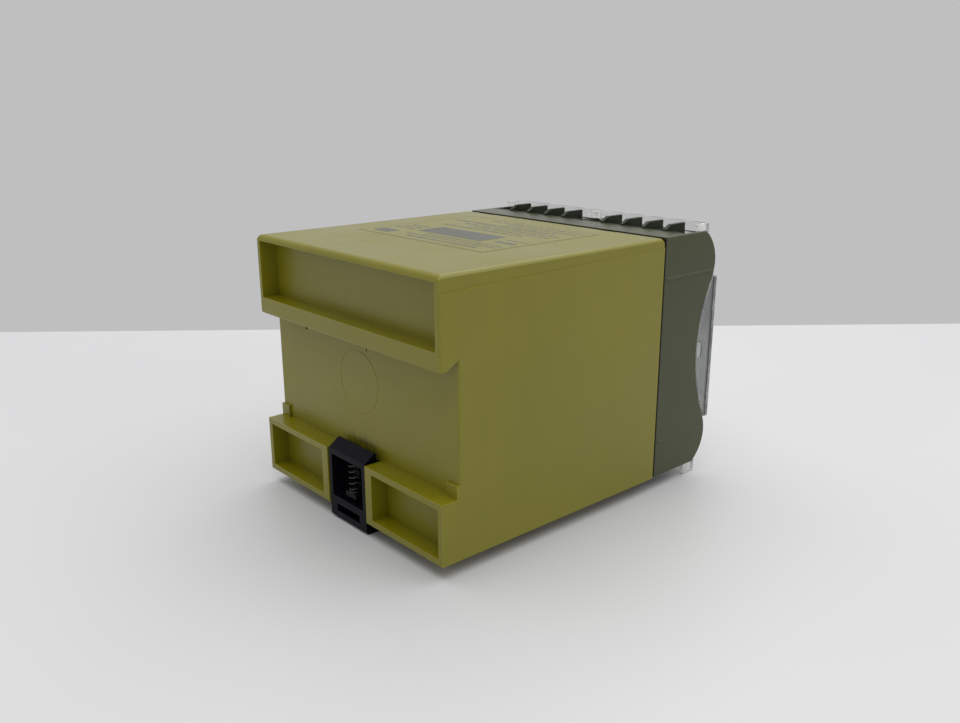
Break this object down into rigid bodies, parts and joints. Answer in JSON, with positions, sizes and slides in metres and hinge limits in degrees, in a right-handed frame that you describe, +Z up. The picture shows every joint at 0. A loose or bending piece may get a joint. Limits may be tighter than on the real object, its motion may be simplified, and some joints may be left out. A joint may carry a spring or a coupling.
{
  "type": "din rail timer",
  "caption": "Wide electronic timer relay for a top hat rail: boxy shell with hook and sprung latch at the back, olive front with screw terminals under clear covers and a curved clear window.",
  "frame": {"origin": "middle of the footprint, on the surface the device stands on", "axes": "+Z up, +Y towards the rail, -Y towards the window and the terminals, X along the rail"},
  "size_m": [0.09, 0.1156, 0.0846],
  "materials": {
    "housing_yellow": "satin moulded, fine grain",
    "housing_olive": "satin moulded, fine grain",
    "terminal_olive": "satin moulded",
    "clear_plastic": "clear polycarbonate, glossy",
    "latch_black": "satin moulded",
    "spring_steel": "oiled spring wire",
    "screw_metal": "nickel plated",
    "label_foil": "printed foil",
    "plate_grey": "printed, satin",
    "knob_black": "satin moulded",
    "lens_green": "translucent",
    "control_blue": "satin",
    "board_green": "solder mask on glass fibre",
    "core_steel": "varnished laminations",
    "winding_tape": "taped copper winding",
    "relay_black": "satin",
    "capacitor_sleeve": "shrink sleeve",
    "cable_grey": "flat cable"
  },
  "bodies": {
    "housing": {"rear_housing": "housing_yellow", "type_label": "label_foil", "spring_seat": "latch_black", "latch_spring": "spring_steel", "front_housing": "housing_olive", "front_plate": "plate_grey", "terminal_strip_top_left": "terminal_olive", "terminal_strip_top_right": "terminal_olive", "terminal_strip_bottom_left": "terminal_olive", "terminal_strip_bottom_right": "terminal_olive", "status_1_lens": "lens_green", "status_2_lens": "lens_green", "status_3_lens": "lens_green", "time_control": "control_blue", "range_control": "control_blue", "lower_board": "board_green", "upper_board": "board_green", "front_board": "board_green", "transformer_core": "core_steel", "transformer_winding": "winding_tape", "output_relay_1": "relay_black", "output_relay_2": "relay_black", "output_relay_3": "relay_black", "timing_chip_1": "relay_black", "timing_chip_2": "relay_black", "surge_disc": "capacitor_sleeve", "capacitor_1": "capacitor_sleeve", "capacitor_2": "capacitor_sleeve", "board_link": "cable_grey"},
    "latch": {"rail_latch": "latch_black"},
    "window": {"front_window": "clear_plastic"},
    "time_setting": {"time_knob": "knob_black"},
    "range_setting": {"range_knob": "knob_black"},
    "cover_top_left": {"terminal_cover_top_left": "clear_plastic"},
    "cover_top_right": {"terminal_cover_top_right": "clear_plastic"},
    "cover_bottom_left": {"terminal_cover_bottom_left": "clear_plastic"},
    "cover_bottom_right": {"terminal_cover_bottom_right": "clear_plastic"},
    "screw_top_left_1": {"terminal_screw_top_left_1": "screw_metal"},
    "screw_top_left_2": {"terminal_screw_top_left_2": "screw_metal"},
    "screw_top_left_3": {"terminal_screw_top_left_3": "screw_metal"},
    "screw_top_left_4": {"terminal_screw_top_left_4": "screw_metal"},
    "screw_top_left_5": {"terminal_screw_top_left_5": "screw_metal"},
    "screw_top_right_1": {"terminal_screw_top_right_1": "screw_metal"},
    "screw_top_right_2": {"terminal_screw_top_right_2": "screw_metal"},
    "screw_top_right_3": {"terminal_screw_top_right_3": "screw_metal"},
    "screw_top_right_4": {"terminal_screw_top_right_4": "screw_metal"},
    "screw_top_right_5": {"terminal_screw_top_right_5": "screw_metal"},
    "screw_bottom_left_1": {"terminal_screw_bottom_left_1": "screw_metal"},
    "screw_bottom_left_2": {"terminal_screw_bottom_left_2": "screw_metal"},
    "screw_bottom_left_3": {"terminal_screw_bottom_left_3": "screw_metal"},
    "screw_bottom_left_4": {"terminal_screw_bottom_left_4": "screw_metal"},
    "screw_bottom_left_5": {"terminal_screw_bottom_left_5": "screw_metal"},
    "screw_bottom_right_1": {"terminal_screw_bottom_right_1": "screw_metal"},
    "screw_bottom_right_2": {"terminal_screw_bottom_right_2": "screw_metal"},
    "screw_bottom_right_3": {"terminal_screw_bottom_right_3": "screw_metal"},
    "screw_bottom_right_4": {"terminal_screw_bottom_right_4": "screw_metal"},
    "screw_bottom_right_5": {"terminal_screw_bottom_right_5": "screw_metal"}
  },
  "joints": [
    {"name": "latch_slide", "type": "slide", "parent": "housing", "child": "latch", "axis": [0, 0, -1], "range_m": [0, 0.0035], "stiffness_N_per_m": 1500, "springref_m": -0.006, "deforming": ["latch_spring"]},
    {"name": "window_lift", "type": "slide", "parent": "housing", "child": "window", "axis": [0, -1, 0], "range_m": [0, 0.02]},
    {"name": "time_knob_turn", "type": "hinge", "parent": "housing", "child": "time_setting", "pos_m": [-0.017, -0.04625, 0.0454], "axis": [0, -1, 0], "range_deg": [-150, 150]},
    {"name": "range_knob_turn", "type": "hinge", "parent": "housing", "child": "range_setting", "pos_m": [0.017, -0.04625, 0.0454], "axis": [0, -1, 0], "range_deg": [-75, 75]},
    {"name": "cover_top_left_lift", "type": "slide", "parent": "housing", "child": "cover_top_left", "axis": [0, -1, 0], "range_m": [0, 0.02]},
    {"name": "cover_top_right_lift", "type": "slide", "parent": "housing", "child": "cover_top_right", "axis": [0, -1, 0], "range_m": [0, 0.02]},
    {"name": "cover_bottom_left_lift", "type": "slide", "parent": "housing", "child": "cover_bottom_left", "axis": [0, -1, 0], "range_m": [0, 0.02]},
    {"name": "cover_bottom_right_lift", "type": "slide", "parent": "housing", "child": "cover_bottom_right", "axis": [0, -1, 0], "range_m": [0, 0.02]},
    {"name": "screw_top_left_1_turn", "type": "hinge", "parent": "housing", "child": "screw_top_left_1", "pos_m": [0.0048, -0.04825, 0.0742], "axis": [0, -1, 0], "continuous": true},
    {"name": "screw_top_left_2_turn", "type": "hinge", "parent": "housing", "child": "screw_top_left_2", "pos_m": [0.0135, -0.04825, 0.0742], "axis": [0, -1, 0], "continuous": true},
    {"name": "screw_top_left_3_turn", "type": "hinge", "parent": "housing", "child": "screw_top_left_3", "pos_m": [0.0222, -0.04825, 0.0742], "axis": [0, -1, 0], "continuous": true},
    {"name": "screw_top_left_4_turn", "type": "hinge", "parent": "housing", "child": "screw_top_left_4", "pos_m": [0.0309, -0.04825, 0.0742], "axis": [0, -1, 0], "continuous": true},
    {"name": "screw_top_left_5_turn", "type": "hinge", "parent": "housing", "child": "screw_top_left_5", "pos_m": [0.0396, -0.04825, 0.0742], "axis": [0, -1, 0], "continuous": true},
    {"name": "screw_top_right_1_turn", "type": "hinge", "parent": "housing", "child": "screw_top_right_1", "pos_m": [-0.0048, -0.04825, 0.0742], "axis": [0, -1, 0], "continuous": true},
    {"name": "screw_top_right_2_turn", "type": "hinge", "parent": "housing", "child": "screw_top_right_2", "pos_m": [-0.0135, -0.04825, 0.0742], "axis": [0, -1, 0], "continuous": true},
    {"name": "screw_top_right_3_turn", "type": "hinge", "parent": "housing", "child": "screw_top_right_3", "pos_m": [-0.0222, -0.04825, 0.0742], "axis": [0, -1, 0], "continuous": true},
    {"name": "screw_top_right_4_turn", "type": "hinge", "parent": "housing", "child": "screw_top_right_4", "pos_m": [-0.0309, -0.04825, 0.0742], "axis": [0, -1, 0], "continuous": true},
    {"name": "screw_top_right_5_turn", "type": "hinge", "parent": "housing", "child": "screw_top_right_5", "pos_m": [-0.0396, -0.04825, 0.0742], "axis": [0, -1, 0], "continuous": true},
    {"name": "screw_bottom_left_1_turn", "type": "hinge", "parent": "housing", "child": "screw_bottom_left_1", "pos_m": [0.0048, -0.04825, 0.0126], "axis": [0, -1, 0], "continuous": true},
    {"name": "screw_bottom_left_2_turn", "type": "hinge", "parent": "housing", "child": "screw_bottom_left_2", "pos_m": [0.0135, -0.04825, 0.0126], "axis": [0, -1, 0], "continuous": true},
    {"name": "screw_bottom_left_3_turn", "type": "hinge", "parent": "housing", "child": "screw_bottom_left_3", "pos_m": [0.0222, -0.04825, 0.0126], "axis": [0, -1, 0], "continuous": true},
    {"name": "screw_bottom_left_4_turn", "type": "hinge", "parent": "housing", "child": "screw_bottom_left_4", "pos_m": [0.0309, -0.04825, 0.0126], "axis": [0, -1, 0], "continuous": true},
    {"name": "screw_bottom_left_5_turn", "type": "hinge", "parent": "housing", "child": "screw_bottom_left_5", "pos_m": [0.0396, -0.04825, 0.0126], "axis": [0, -1, 0], "continuous": true},
    {"name": "screw_bottom_right_1_turn", "type": "hinge", "parent": "housing", "child": "screw_bottom_right_1", "pos_m": [-0.0048, -0.04825, 0.0126], "axis": [0, -1, 0], "continuous": true},
    {"name": "screw_bottom_right_2_turn", "type": "hinge", "parent": "housing", "child": "screw_bottom_right_2", "pos_m": [-0.0135, -0.04825, 0.0126], "axis": [0, -1, 0], "continuous": true},
    {"name": "screw_bottom_right_3_turn", "type": "hinge", "parent": "housing", "child": "screw_bottom_right_3", "pos_m": [-0.0222, -0.04825, 0.0126], "axis": [0, -1, 0], "continuous": true},
    {"name": "screw_bottom_right_4_turn", "type": "hinge", "parent": "housing", "child": "screw_bottom_right_4", "pos_m": [-0.0309, -0.04825, 0.0126], "axis": [0, -1, 0], "continuous": true},
    {"name": "screw_bottom_right_5_turn", "type": "hinge", "parent": "housing", "child": "screw_bottom_right_5", "pos_m": [-0.0396, -0.04825, 0.0126], "axis": [0, -1, 0], "continuous": true}
  ]
}
